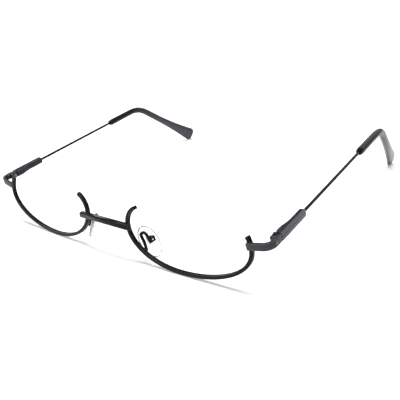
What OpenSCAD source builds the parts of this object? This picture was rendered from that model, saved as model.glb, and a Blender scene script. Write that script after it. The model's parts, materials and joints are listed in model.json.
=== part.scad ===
// Half-frame eyeglasses with under-rims, screw-on nose pads and sprung hinges.
// Millimetres. X is the wearer's left, +Y points back along the temples and +Z is up.
// The frame stands open on its two rims and two temple tips, which touch the plane z = 0.
// Each part is drawn for the +X side and mirrored for the other one.

/* [Rims] */
// Distance from the middle of the frame to the middle of each eye
eye_x = 34.6; // [33:0.1:38]
// Half width of the eye on the temple side
eye_temple_half = 29.2; // [26:0.1:32]
// Half width of the eye on the nose side
eye_nose_half = 23.6; // [21:0.1:26]
// Depth of the half rim below its widest line
eye_drop = 14.1; // [12:0.05:18]
// Radius of the curl at the nose
nose_curl_r = 7.4; // [6:0.1:9]
// Angle of the curl at the nose
nose_curl = 69; // [40:1:80]
// Radius of the curl at the temple
temple_curl_r = 10; // [8.5:0.1:12]
// Angle of the curl at the temple
temple_curl = 33; // [25:1:36]
// Thickness of the rim wire in the plane of the eye
rim_t = 1.35; // [1:0.05:1.6]
// Depth of the rim wire from front to back
rim_d = 1.75; // [1.4:0.05:2]
// Depth of the lens groove
groove_depth = 0.35; // [0.2:0.01:0.45]
// Width of the lens groove
groove_w = 0.7; // [0.4:0.05:0.9]
// Angle that each rim wraps round the face
rim_wrap = 2.1; // [0.5:0.1:3]
// Angle that the top of the rims leans back when the frame stands
rim_lean = 5.2; // [4:0.1:7]

/* [Bridge] */
// Height of the bridge bar
bridge_h = 2.05; // [1.8:0.05:3]
// Depth of the bridge bar
bridge_d = 1.8; // [1.5:0.05:2.4]
// Length of the bridge bar past the middle of each rim wire
bridge_past = 2.2; // [1.2:0.1:3]
// Bridge bar below the widest line of the eye
bridge_drop = 0.7; // [0.3:0.05:1.2]
// How far the bars are let in at the front of the rims
let_in = 0.3; // [0.2:0.01:0.4]

/* [End pieces] */
// Height of the end piece strip
strip_h = 2.4; // [2.3:0.05:3.4]
// Thickness of the end piece strip
strip_t = 1.1; // [0.9:0.05:1.3]
// Radius of the bend at the middle of the strip
strip_bend_r = 3.2; // [2.8:0.05:3.3]
// Backward turn of the strip's front leg from the plane of the rim
strip_sweep = 1.5; // [0:0.5:4]
// Length of the strip past the rim wire toward the eye
strip_past = 0.7; // [0.6:0.1:1.5]
// Seam between the end piece and the temple when open
seam = 0.4; // [0.35:0.01:0.6]

/* [Hinges] */
// Hinge axis outside the widest point of the eye
hinge_out = 5.6; // [4.8:0.05:6]
// Hinge axis behind the middle of the frame
hinge_back = 7.8; // [7.5:0.05:8.4]
// Hinge axis above the widest line of the eye
hinge_rise = 4.35; // [4:0.05:5]
// Slope of the open temples
temple_pitch = 6.3; // [5:0.05:8]
// Inward lean of the hinge axis at its top
hinge_lean = 8.8; // [6:0.1:12]
// Inward angle of the open temples
toe_in = 0.5; // [0:0.01:2]
// Radius of the hinge knuckle
eye_r = 0.82; // [0.78:0.01:0.86]
// Height of the hinge knuckle
eye_h = 1.1; // [0.9:0.05:1.2]
// Thickness of each hinge ear
ear_t = 0.66; // [0.5:0.01:0.75]
// Radius of the hinge screw
screw_r = 0.4; // [0.33:0.01:0.42]
// Radius of the hinge screw's head
screw_head_r = 0.75; // [0.6:0.01:0.8]
// Height of the hinge screw's head
screw_head_h = 0.4; // [0.3:0.01:0.5]
// Clearance of the running fits
fit_gap = 0.03; // [0.02:0.005:0.06]
// Radius of the rivet that holds the front hinge
rivet_r = 0.4; // [0.3:0.01:0.5]
// Radius of the rivet's head
rivet_head_r = 0.7; // [0.6:0.01:0.72]

/* [Spring units] */
// Radius of the spring bore in the temple
bore_r = 0.6; // [0.59:0.01:0.64]
// Radius of the spring rod
rod_r = 0.3; // [0.25:0.01:0.32]
// Length of the bush at the mouth of the bore
bush_l = 1.0; // [0.7:0.05:1.2]
// Radius of the spring wire
spring_wire_r = 0.07; // [0.055:0.005:0.075]
// Turns of the spring
spring_turns = 3.5; // [2.5:0.5:4.5]
// Length of the spring at rest
spring_l = 2.1; // [1.9:0.05:2.3]
// Length of the nut on the end of the rod
nut_l = 0.6; // [0.4:0.05:0.7]

/* [Temples] */
// Length of the temple bar from the hinge axis
bar_l = 16.3; // [14:0.1:20]
// Height of the temple bar
bar_h = 2.7; // [2.3:0.05:3.2]
// Thickness of the temple bar behind its spring housing
bar_t = 1.65; // [1.4:0.05:2]
// Thickness of the temple bar at its spring housing
housing_t = 2.6; // [2.5:0.05:2.9]
// Length of the housing at full thickness, from the hinge axis
housing_l = 3.2; // [2.8:0.1:4]
// Length over which the housing thins to the bar
taper_l = 6; // [5:0.1:8]
// Corner radius at the rear of the bar
bar_corner_r = 0.8; // [0.3:0.05:1.1]
// Radius of the temple wire
wire_r = 0.55; // [0.45:0.01:0.6]
// Length of wire that shows between the bar and the tip
wire_l = 47; // [30:0.5:60]

/* [Tips] */
// Length of the tip along its curve
tip_l = 68; // [60:0.5:80]
// Straight length before the ear bend
tip_straight = 14.5; // [10:0.5:20]
// Length of the ear bend
tip_bend_l = 16; // [10:0.5:25]
// Angle of the left ear bend
left_tip_bend = 42.7; // [38:0.1:46]
// Angle of the right ear bend
right_tip_bend = 41.4; // [38:0.1:46]
// Inward curve of the left tip over its length
left_tip_curl = 5; // [0:0.5:20]
// Inward curve of the right tip over its length
right_tip_curl = 17; // [0:0.5:20]
// Inward lean of the left tip's lower end
left_tip_roll = 10; // [0:0.5:16]
// Inward lean of the right tip's lower end
right_tip_roll = 0; // [0:0.5:16]
// Diameter of the tip where the wire enters
tip_d = 2.5; // [2.3:0.05:3]
// Diameter of the tip before the ear bend
neck_d = 2.3; // [2:0.05:2.6]
// Width that the tip gains in the ear bend
bend_swell = 0.5; // [0:0.05:0.8]
// Width of the tip at its paddle
paddle_w = 8; // [6:0.1:9]
// Thickness of the tip at its paddle
paddle_t = 1.9; // [1.5:0.05:2.4]
// Corner radius of the paddle's end
paddle_round = 1.9; // [1.2:0.1:2.6]

/* [Nose pads] */
// Pad pivot outside the middle of the frame
pad_x = 17; // [16.2:0.1:18]
// Pad pivot behind the middle of the frame
pad_y = 5; // [4.8:0.1:5.5]
// Pad pivot below the widest line of the eye
pad_down = 7.4; // [7:0.1:8]
// Length of the pad
pad_l = 13.2; // [11:0.1:14]
// Width of the pad
pad_w = 7.2; // [6:0.1:8]
// Thickness of the pad
pad_t = 2.0; // [1.6:0.05:2.4]
// Splay of the pad seen from above
pad_splay = 30; // [24:1:35]
// Outward lean of the pad's lower end
pad_flare = 25; // [20:1:30]
// Backward lean of the pad's lower end
pad_rake = 18; // [14:1:22]
// Radius of the pad arm's wire
arm_r = 0.5; // [0.4:0.01:0.55]
// Width and height of the pad box
box_w = 2.7; // [2.5:0.05:2.8]
// Radius of the pad screw
pad_screw_r = 0.3; // [0.25:0.01:0.35]

/* [Hidden] */

black = [0.09, 0.09, 0.1];
gunmetal = [0.3, 0.31, 0.34];
charcoal = [0.2, 0.2, 0.24];
steel = [0.7, 0.7, 0.72];
clear_pad = [0.85, 0.9, 0.92];

// Slack for cutters, so that no two cut faces coincide
slack = 0.5;
// Fineness of the round parts
fine = 48;

// The rims stand on z = 0 with the front lower edge of each one
eye_z = (eye_drop + rim_t / 2) * cos(rim_lean) + rim_d / 2 * sin(rim_lean);
// Middle of each rim in depth, so that the rims' noses lie at y = 0
eye_y = eye_nose_half * sin(rim_wrap) + 0.45;

hinge_pos = [eye_x + eye_temple_half + hinge_out, hinge_back, eye_z + hinge_rise];
strip_out = strip_t + eye_r + fit_gap + 0.09;
strip_in = strip_out - strip_t;
ear_r = eye_r + 0.02;
hinge_h = eye_h + 2 * fit_gap + 2 * ear_t;
housing_front = ear_r + 0.2;
bore_x = strip_out - housing_t / 2 - 0.06;
bore_end = housing_l + 2.1;
rod_end = bore_end - 0.3;
bar_mid_x = strip_out - bar_t / 2;

// Unit vectors of the hinge's own frame, in the frame of the whole part
function turn_x(p, a) = [p[0], p[1] * cos(a) - p[2] * sin(a), p[1] * sin(a) + p[2] * cos(a)];
function turn_y(p, a) = [p[0] * cos(a) + p[2] * sin(a), p[1], p[2] * cos(a) - p[0] * sin(a)];
function turn_z(p, a) = [p[0] * cos(a) - p[1] * sin(a), p[0] * sin(a) + p[1] * cos(a), p[2]];
function from_hinge(p) = hinge_pos + turn_z(turn_x(turn_y(p, -hinge_lean), temple_pitch), toe_in);
function to_hinge(p) = turn_y(turn_x(turn_z(p - hinge_pos, -toe_in), -temple_pitch), hinge_lean);
// Point of the eye's plane: u outward, v up, w back
function from_eye(u, v, w) = [eye_x, eye_y, eye_z] + turn_z(turn_x([u, w, v], -rim_lean), rim_wrap);

module mirrored(side) {
    translate([0, -mid_y, 0]) {
        if (side > 0) children();
        else mirror([1, 0, 0]) children();
    }
}

module at_eye() translate([eye_x, eye_y, eye_z]) rotate([-rim_lean, 0, rim_wrap]) children();

module at_hinge() translate(hinge_pos) rotate([temple_pitch, 0, toe_in]) rotate([0, -hinge_lean, 0]) children();

pad_pos = [pad_x, pad_y, eye_z - pad_down];
module at_pad() translate(pad_pos) rotate([pad_rake, -pad_flare, -pad_splay]) children();
function from_pad(p) = pad_pos + turn_z(turn_y(turn_x(p, pad_rake), -pad_flare), -pad_splay);

// Closed solid through a list of rings, each with the same number of points
module skin(rings) {
    n = len(rings[0]);
    last = len(rings) - 1;
    points = [for (ring = rings) each ring];
    sides = [for (i = [0 : last - 1], j = [0 : n - 1])
        let (a = i * n + j, b = i * n + (j + 1) % n)
        each [[a, b, b + n], [a, b + n, a + n]]];
    start_cap = [[for (j = [n - 1 : -1 : 0]) j]];
    end_cap = [[for (j = [0 : n - 1]) last * n + j]];
    polyhedron(points = points, faces = concat(start_cap, sides, end_cap), convexity = 8);
}

// Path of the rim wire's middle: nose curl, two quarter ellipses and temple curl.
// Each entry is the place and the outward normal in the plane of the eye.
function curl_at(half, r, sense, a) =
    [[sense * (half - r + r * cos(a)), r * sin(a)], [sense * cos(a), sin(a)]];
function ellipse_normal(half, a) =
    let (n = [eye_drop * cos(a), half * sin(a)]) n / norm(n);
function ellipse_at(half, sense, a) =
    let (n = ellipse_normal(half, a))
    [[sense * half * cos(a), -eye_drop * sin(a)], [sense * n[0], -n[1]]];
rim_step = 5;
rim_path = concat(
    [for (i = [8 : -1 : 1]) curl_at(eye_nose_half, nose_curl_r, -1, nose_curl * i / 8)],
    [for (a = [0 : rim_step : 90 - rim_step]) ellipse_at(eye_nose_half, -1, a)],
    [for (a = [90 : -rim_step : 0]) ellipse_at(eye_temple_half, 1, a)],
    [for (i = [1 : 6]) curl_at(eye_temple_half, temple_curl_r, 1, temple_curl * i / 6)]
);

// Section of the rim wire: outward distance and depth, with the lens groove inside
rim_chamfer = 0.14;
rim_section = [
    [rim_t / 2 - rim_chamfer, -rim_d / 2],
    [-rim_t / 2, -rim_d / 2],
    [-rim_t / 2, -groove_w / 2],
    [-rim_t / 2 + groove_depth, 0],
    [-rim_t / 2, groove_w / 2],
    [-rim_t / 2, rim_d / 2],
    [rim_t / 2 - rim_chamfer, rim_d / 2],
    [rim_t / 2, rim_d / 2 - rim_chamfer],
    [rim_t / 2, -rim_d / 2 + rim_chamfer]
];

module rim(side) color(black) mirrored(side) at_eye()
    skin([for (p = rim_path) [for (s = rim_section)
        [p[0][0] + p[1][0] * s[0], s[1], p[0][1] + p[1][1] * s[0]]]]);

// Everything behind the front plane of a rim, between two widths in the plane of the eye
module behind_rim(u0, u1) at_eye()
    translate([u0, -rim_d / 2, -eye_drop]) cube([u1 - u0, 4 * bridge_d, 2 * eye_drop]);

// Straight bar with rounded long edges, let in across the front of both rims
bridge_half = eye_x - eye_nose_half + bridge_past;
bridge_edge = 0.5;
bridge_y = from_eye(-eye_nose_half, 0, -rim_d / 2)[1] - bridge_d / 2 + let_in;
bridge_z = eye_z - bridge_drop;
module bridge_section() {
    for (y = [-1, 1], z = [-1, 1])
        translate([y * (bridge_d / 2 - bridge_edge), z * (bridge_h / 2 - bridge_edge)])
            circle(r = bridge_edge, $fn = fine);
    square([bridge_d, bridge_h - 2 * bridge_edge], center = true);
    square([bridge_d - 2 * bridge_edge, bridge_h], center = true);
}
module bridge() color(black) difference() {
    mirrored(1) translate([-bridge_half, bridge_y, bridge_z]) rotate([90, 0, 90])
        linear_extrude(2 * bridge_half) bridge_section();
    for (side = [-1, 1]) mirrored(side) behind_rim(-eye_nose_half - rim_t / 2 - 0.2, -eye_nose_half + 4);
}

// Plan of the bent strip in the hinge's frame: front leg, bend and side leg
strip_contact = to_hinge(from_eye(eye_temple_half - 0.4, 2.4, -rim_d / 2));
front_turn = to_hinge(from_eye(eye_temple_half + 5, 3.28, -rim_d / 2)) - strip_contact;
front_sweep = atan2(front_turn[1], front_turn[0]) + strip_sweep;
strip_mid_x = strip_out - strip_t / 2;
strip_mid_y = strip_contact[1] - strip_t / 2 + let_in;
corner_y = strip_mid_y + (strip_mid_x - strip_contact[0]) * tan(front_sweep);
bend_turn = 90 - front_sweep;
bend_cut = strip_bend_r * tan(bend_turn / 2);
bend_centre = [strip_mid_x - strip_bend_r, corner_y + bend_cut];
strip_start_x = strip_contact[0] - strip_past;
function strip_side(offset) = concat(
    [[strip_start_x + offset * sin(front_sweep),
      strip_mid_y + (strip_start_x - strip_contact[0]) * tan(front_sweep) - offset * cos(front_sweep)]],
    [for (i = [0 : 14]) let (a = -90 + front_sweep + bend_turn * i / 14)
        bend_centre + (strip_bend_r + offset) * [cos(a), sin(a)]],
    [[strip_mid_x + offset, 0]]
);
function reversed(list) = [for (i = [len(list) - 1 : -1 : 0]) list[i]];
module strip_solid() translate([0, 0, -strip_h / 2]) linear_extrude(strip_h)
    polygon(concat(strip_side(strip_t / 2), reversed(strip_side(-strip_t / 2))));
module end_piece(side) color(gunmetal) mirrored(side) difference() {
    at_hinge() strip_solid();
    behind_rim(eye_temple_half - 8, eye_temple_half + rim_t / 2 + 0.5);
    at_hinge() rivet_shank();
}

// Two ears round the knuckle on a web, with a foot that the rivet holds to the strip
rivet_y = -2.86;
rivet_z = -0.1;
foot_t = 0.5;
foot_h = hinge_h - 0.3;
module rivet_shank() translate([0, rivet_y, rivet_z]) rotate([0, 90, 0])
    cylinder(r = rivet_r, h = strip_out - 0.02, $fn = fine);
module front_hinge(side) color(gunmetal) mirrored(side) at_hinge() difference() {
    union() {
        translate([0, 0, -hinge_h / 2]) linear_extrude(hinge_h) {
            circle(r = ear_r, $fn = fine);
            translate([-ear_r, -2.1]) square([ear_r + strip_in, 2.1]);
        }
        translate([strip_in - foot_t, rivet_y - 0.74, -foot_h / 2]) cube([foot_t, 1.8, foot_h]);
    }
    translate([0, 0, -eye_h / 2 - fit_gap]) cylinder(r = ear_r + 0.2, h = eye_h + 2 * fit_gap, $fn = fine);
    translate([-4, 0, -eye_h / 2 - fit_gap]) cube([8, 4, eye_h + 2 * fit_gap]);
    translate([-4, -0.9, -eye_h / 2 - fit_gap]) cube([4, 1, eye_h + 2 * fit_gap]);
    translate([0, 0, -hinge_h]) cylinder(r = screw_r, h = 2 * hinge_h, $fn = fine);
    strip_solid();
    rivet_shank();
}

// Rivet through foot and strip, flush outside, with a low dome on the inner side
module hinge_rivet(side) color(gunmetal) mirrored(side) at_hinge() {
    head_x = strip_in - foot_t;
    intersection() {
        rivet_shank();
        translate([head_x, rivet_y - 1, rivet_z - 1]) cube([4, 2, 2]);
    }
    dome_r = 1.1;
    dome_back = sqrt(dome_r * dome_r - rivet_head_r * rivet_head_r);
    intersection() {
        translate([head_x + dome_back, rivet_y, rivet_z]) sphere(r = dome_r, $fn = fine);
        translate([head_x - 1, rivet_y - 1, rivet_z - 1]) cube([1, 2, 2]);
    }
}

module hinge_screw(side) color(gunmetal) mirrored(side) at_hinge() difference() {
    union() {
        translate([0, 0, -hinge_h / 2]) cylinder(r = screw_r, h = hinge_h, $fn = fine);
        translate([0, 0, hinge_h / 2]) cylinder(r = screw_head_r, h = screw_head_h, $fn = fine);
    }
    translate([-0.12, -screw_head_r - slack, hinge_h / 2 + screw_head_h - 0.18])
        cube([0.24, 2 * (screw_head_r + slack), 1]);
}

// Knuckle on the screw, with the rod that slides in the bush
module hinge_knuckle(side) color(steel) mirrored(side) at_hinge() difference() {
    union() {
        translate([0, 0, -eye_h / 2]) cylinder(r = eye_r, h = eye_h, $fn = fine);
        translate([bore_x, 0.5, 0]) rotate([-90, 0, 0]) cylinder(r = rod_r, h = rod_end - 0.5, $fn = fine);
    }
    translate([0, 0, -eye_h]) cylinder(r = screw_r + fit_gap, h = 2 * eye_h, $fn = fine);
}

bush_start = housing_front + 0.05;
module spring_bush(side) color(steel) mirrored(side) at_hinge()
    translate([bore_x, bush_start, 0]) rotate([-90, 0, 0]) difference() {
        cylinder(r = bore_r, h = bush_l, $fn = fine);
        translate([0, 0, -slack]) cylinder(r = rod_r + fit_gap, h = bush_l + 2 * slack, $fn = fine);
    }

// Nut pressed on the rear end of the rod, which holds the spring
nut_r = bore_r - 0.06;
nut_start = bush_start + bush_l + spring_l;
module spring_nut(side) color(steel) mirrored(side) at_hinge()
    translate([bore_x, nut_start, 0]) rotate([-90, 0, 0]) difference() {
        cylinder(r = nut_r, h = nut_l, $fn = fine);
        translate([0, 0, -slack]) cylinder(r = rod_r, h = nut_l + 2 * slack, $fn = fine);
    }

// Compression spring round the rod between bush and nut
coil_r = (rod_r + bore_r) / 2;
turn_steps = 12;
coil_sides = 6;
coil_rise = spring_l - 2 * spring_wire_r - 0.02;
coil_gap = coil_rise / spring_turns - 2 * spring_wire_r;
echo(least_gap_between_turns = coil_gap);
module hinge_spring(side) color(steel) mirrored(side) at_hinge()
    translate([bore_x, bush_start + bush_l + spring_wire_r + 0.01, 0])
        skin([for (i = [0 : spring_turns * turn_steps])
            let (a = 360 * i / turn_steps, y = coil_rise * i / (spring_turns * turn_steps))
            [for (j = [0 : coil_sides - 1]) let (b = -360 * j / coil_sides, r = coil_r + spring_wire_r * cos(b))
                [r * cos(a), y + spring_wire_r * sin(b), r * sin(a)]]]);

// Temple bar with its spring housing on the inner side
bar_plan_steps = 8;
function ease(t) = t * t * (3 - 2 * t);
bar_plan = concat(
    [[strip_out, seam], [strip_out, bar_l], [strip_out - bar_t, bar_l]],
    [for (i = [bar_plan_steps : -1 : 0]) let (t = i / bar_plan_steps)
        [strip_out - housing_t + (housing_t - bar_t) * ease(t), housing_l + taper_l * t]],
    [[strip_out - housing_t, housing_front + 0.5], [strip_out - housing_t + 0.5, housing_front],
     [strip_in + 0.1, housing_front], [strip_in + 0.1, seam]]
);
wire_pocket = 3;
module temple_bar(side) color(gunmetal) mirrored(side) at_hinge() difference() {
    intersection() {
        translate([0, 0, -bar_h / 2]) linear_extrude(bar_h) polygon(bar_plan);
        rotate([90, 0, 90]) translate([0, 0, -10]) linear_extrude(20) {
            translate([0, -bar_h]) square([bar_l - bar_corner_r, 2 * bar_h]);
            translate([0, -bar_h / 2 + bar_corner_r]) square([bar_l, bar_h - 2 * bar_corner_r]);
            for (z = [-1, 1]) translate([bar_l - bar_corner_r, z * (bar_h / 2 - bar_corner_r)])
                circle(r = bar_corner_r, $fn = fine);
        }
    }
    translate([bore_x, 0, 0]) rotate([-90, 0, 0]) cylinder(r = bore_r, h = bore_end, $fn = fine);
    translate([bar_mid_x, bar_l - wire_pocket, 0]) rotate([-90, 0, 0])
        cylinder(r = wire_r, h = wire_pocket + slack, $fn = fine);
}

// The temple's own frame starts at the rear of the bar, without the hinge's lean
bar_rear = from_hinge([bar_mid_x, bar_l, 0]);
module at_temple() translate(bar_rear) rotate([temple_pitch, 0, toe_in]) children();
wire_in_tip = tip_straight - 1;
module temple_wire(side) color(black) mirrored(side) at_temple()
    translate([0, -wire_pocket, 0]) rotate([-90, 0, 0])
        cylinder(r = wire_r, h = wire_pocket + wire_l + wire_in_tip, $fn = fine);

// Path of the tip by small steps: straight, ear bend, then straight down with a light inward curl.
// Each side has its own bend, curl and roll, as the tips are bent to fit the wearer's ears.
tip_rings = 30;
tip_step = tip_l / tip_rings;
function clamp01(t) = max(0, min(1, t));
function tip_drop(s, side) =
    (side > 0 ? left_tip_bend : right_tip_bend) * ease(clamp01((s - tip_straight) / tip_bend_l));
function tip_yaw(s, side) =
    (side > 0 ? left_tip_curl : right_tip_curl) * clamp01((s - tip_straight) / (tip_l - tip_straight));
function tip_rolled(p, side) = turn_y(p, side > 0 ? left_tip_roll : right_tip_roll);
function tip_dir(s, side) = let (drop = tip_drop(s, side), yaw = tip_yaw(s, side))
    [-sin(yaw) * cos(drop), cos(yaw) * cos(drop), -sin(drop)];
function tip_up(s, side) = let (drop = tip_drop(s, side), yaw = tip_yaw(s, side))
    [-sin(yaw) * sin(drop), cos(yaw) * sin(drop), cos(drop)];
function tip_points(i, side) = i == 0 ? [[0, wire_l, 0]]
    : let (before = tip_points(i - 1, side))
      concat(before, [before[i - 1] + tip_step * tip_dir((i - 0.5) * tip_step, side)]);
function tip_at(path, q) = let (i = min(tip_rings - 1, floor(q))) path[i] + (path[i + 1] - path[i]) * (q - i);

// Section of the tip: round at the wire, flat and wide at the paddle, whose end is nearly square
flare_start = 0.48 * tip_l;
flare_power = 2.2;
front_round = 1;
function start_round(s) = s < front_round ? 0.86 + 0.14 * s / front_round : 1;
function end_corner(s, r) = let (into = s - (tip_l - r)) into <= 0 ? 0 : r - sqrt(max(0, r * r - into * into));
function neck_at(s) = tip_d + (neck_d - tip_d) * ease(clamp01(s / tip_straight));
function flare_at(s) = clamp01((s - flare_start) / (tip_l - flare_start));
function tip_half_w(s) = start_round(s) * (neck_at(s)
    + bend_swell * ease(clamp01((s - tip_straight) / (flare_start - tip_straight)))
    + (paddle_w - neck_d - bend_swell) * pow(flare_at(s), flare_power)) / 2 - end_corner(s, paddle_round);
end_edge = 0.35 * paddle_t;
function tip_half_t(s) = start_round(s) * (neck_at(s) + (paddle_t - neck_d) * ease(flare_at(s))) / 2
    - end_corner(s, end_edge);
tip_sides = 14;
// Sections: fine steps at both ends, where the tip is rounded
tip_stations = concat([0, 0.3], [front_round / tip_step], [for (i = [1 : tip_rings - 1]) i],
    [for (f = [0.35, 0.65, 0.85, 0.96, 1]) tip_rings - paddle_round / tip_step * (1 - f)]);
function tip_surface(side) = let (path = tip_points(tip_rings, side))
    [for (q = tip_stations)
        let (s = q * tip_step, c = tip_at(path, q), up = tip_up(s, side), across = cross(tip_dir(s, side), up))
        [for (j = [0 : tip_sides - 1]) let (a = -360 * j / tip_sides)
            tip_rolled(c + up * tip_half_w(s) * sin(a) + across * tip_half_t(s) * cos(a), side)]];
function from_temple(p) = bar_rear + turn_z(turn_x(p, temple_pitch), toe_in);
function tip_world(side) = [for (ring = tip_surface(side), p = ring) from_temple(p)];
function tip_low(side) = min([for (p = tip_world(side)) p[2]]);
function tip_rear(side) = max([for (p = tip_world(side)) p[1]]);
echo(lowest_point_of_left_tip = tip_low(1), lowest_point_of_right_tip = tip_low(-1));

// The origin lies half way between the front of the bridge and the rear of the tips
mid_y = (bridge_y - bridge_d / 2 + max(tip_rear(1), tip_rear(-1))) / 2;
module temple_tip(side) color(charcoal) mirrored(side) at_temple() difference() {
    skin(tip_surface(side));
    translate([0, wire_l - slack, 0]) rotate([-90, 0, 0])
        cylinder(r = wire_r, h = wire_in_tip + slack, $fn = fine);
}

// Pad arm: wire from the back of the rim, up and over to the top of the pad box
arm_foot_a = 45;
arm_foot_u = -eye_nose_half * cos(arm_foot_a);
arm_foot_v = -eye_drop * sin(arm_foot_a);
arm_start = from_eye(arm_foot_u, arm_foot_v, rim_d / 2 + 0.01);
arm_lead = from_eye(arm_foot_u, arm_foot_v, rim_d / 2 + 0.5);
arm_end_x = 0.2;
arm_end_y = -0.6;
arm_end = from_pad([arm_end_x, arm_end_y, box_w / 2 + 0.01]);
arm_bends = [
    arm_start,
    arm_lead,
    arm_start + [-1.6, 1.5, 2.3],
    arm_start + [-2.8, 1.6, 4.6],
    arm_end + [-1.2, -1.9, 1.7],
    arm_end + [-0.2, -1.6, 2.4],
    from_pad([arm_end_x, arm_end_y, box_w / 2 + 1.2]),
    from_pad([arm_end_x, arm_end_y, box_w / 2 + 0.4])
];
function spline(p0, p1, p2, p3, t) = 0.5 * (2 * p1 + (p2 - p0) * t + (2 * p0 - 5 * p1 + 4 * p2 - p3) * t * t
    + (3 * p1 - p0 - 3 * p2 + p3) * t * t * t);
function bend_at(i) = arm_bends[min(len(arm_bends) - 1, i)];
arm_steps = 5;
arm_points = concat([arm_start],
    [for (i = [1 : len(arm_bends) - 2], k = [0 : arm_steps - 1])
        spline(bend_at(i - 1), bend_at(i), bend_at(i + 1), bend_at(i + 2), k / arm_steps)],
    [arm_bends[len(arm_bends) - 1], arm_end]);
function unit(v) = v / norm(v);
function tangent(points, i) = unit(i == 0 ? points[1] - points[0]
    : i == len(points) - 1 ? points[i] - points[i - 1] : points[i + 1] - points[i - 1]);
arm_sides = 8;
arm_across = [-0.9, 0.15, 0.4];
module pad_arm(side) color(black) mirrored(side)
    skin([for (i = [0 : len(arm_points) - 1])
        let (t = tangent(arm_points, i), a = unit(cross(t, arm_across)), b = cross(t, a))
        [for (j = [0 : arm_sides - 1]) let (w = -360 * j / arm_sides)
            arm_points[i] + arm_r * (cos(w) * a + sin(w) * b)]]);

// Box round the pad's lug, open toward the pad, with a half wall behind and one round corner.
// The screw crosses it along the pad's width.
box_wall = 0.42;
lug_r = 0.62;
box_front = -0.8;
box_back = lug_r + 0.13 + box_wall;
box_inner = box_w / 2 - box_wall;
lug_side = [0.05 - box_inner, box_inner - 0.38];
module box_outline(r) {
    circle(r = r, $fn = fine);
    translate([-r, -r]) square([r, 2 * r]);
    translate([0, -r]) square([r, r]);
}
module pad_box(side) color(black) mirrored(side) at_pad() difference() {
    translate([box_front, 0, 0]) rotate([90, 0, 90]) difference() {
        linear_extrude(box_back - box_front) box_outline(box_w / 2);
        translate([0, 0, -slack]) linear_extrude(box_back - box_front + slack - box_wall)
            box_outline(box_inner);
        translate([0.1, -lug_r, 0]) cube([box_inner - 0.25, 2 * lug_r - 0.1, 4]);
    }
    rotate([90, 0, 0]) cylinder(r = pad_screw_r, h = 2 * box_w, center = true, $fn = fine);
}

module pad_screw(side) color(gunmetal) mirrored(side) at_pad() rotate([-90, 0, 0]) {
    translate([0, 0, -box_w / 2]) cylinder(r = pad_screw_r, h = box_w + 0.1, $fn = fine);
    translate([0, 0, box_w / 2]) cylinder(r = 0.7, h = 0.4, $fn = fine);
}

// Oval pad with a soft crown, and the lug that goes into the box
pad_back = box_front - 0.35;
pad_centre_y = -0.5;
pad_centre_z = -0.8;
pad_levels = [[0, 0.8], [0.12, 0.93], [0.35, 1], [0.6, 0.95], [0.82, 0.78], [0.95, 0.5], [1, 0.2]];
pad_sides = 28;
module nose_pad(side) color(clear_pad) mirrored(side) at_pad() difference() {
    union() {
        skin([for (level = pad_levels) [for (j = [0 : pad_sides - 1]) let (a = 360 * j / pad_sides)
            [pad_back - pad_t * level[0],
             pad_centre_y + pad_w / 2 * level[1] * cos(a),
             pad_centre_z + pad_l / 2 * (1 - (1 - level[1]) * pad_w / pad_l) * sin(a)]]]);
        translate([pad_back - 0.3, lug_side[0], -lug_r]) cube([0.3 - pad_back, lug_side[1] - lug_side[0], 2 * lug_r]);
        translate([0, lug_side[0], 0]) rotate([-90, 0, 0])
            cylinder(r = lug_r, h = lug_side[1] - lug_side[0], $fn = fine);
    }
    rotate([90, 0, 0]) cylinder(r = pad_screw_r + fit_gap, h = 2 * box_w, center = true, $fn = fine);
}

rim(1);  // left_rim
rim(-1);  // right_rim
bridge();
end_piece(1);  // left_end_piece
end_piece(-1);  // right_end_piece
front_hinge(1);  // left_front_hinge
front_hinge(-1);  // right_front_hinge
hinge_rivet(1);  // left_hinge_rivet
hinge_rivet(-1);  // right_hinge_rivet
hinge_screw(1);  // left_hinge_screw
hinge_screw(-1);  // right_hinge_screw
hinge_knuckle(1);  // left_hinge_knuckle
hinge_knuckle(-1);  // right_hinge_knuckle
hinge_spring(1);  // left_hinge_spring
hinge_spring(-1);  // right_hinge_spring
spring_nut(1);  // left_spring_nut
spring_nut(-1);  // right_spring_nut
spring_bush(1);  // left_spring_bush
spring_bush(-1);  // right_spring_bush
temple_bar(1);  // left_temple_bar
temple_bar(-1);  // right_temple_bar
temple_wire(1);  // left_temple_wire
temple_wire(-1);  // right_temple_wire
temple_tip(1);  // left_temple_tip
temple_tip(-1);  // right_temple_tip
pad_arm(1);  // left_pad_arm
pad_arm(-1);  // right_pad_arm
pad_box(1);  // left_pad_box
pad_box(-1);  // right_pad_box
pad_screw(1);  // left_pad_screw
pad_screw(-1);  // right_pad_screw
nose_pad(1);  // left_nose_pad
nose_pad(-1);  // right_nose_pad
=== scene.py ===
"""Half-frame eyeglasses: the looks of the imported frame, in metres, +Z up, +Y toward the ear tips."""
import json
import math

import bmesh
import bpy
from mathutils import Matrix, Vector

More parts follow.
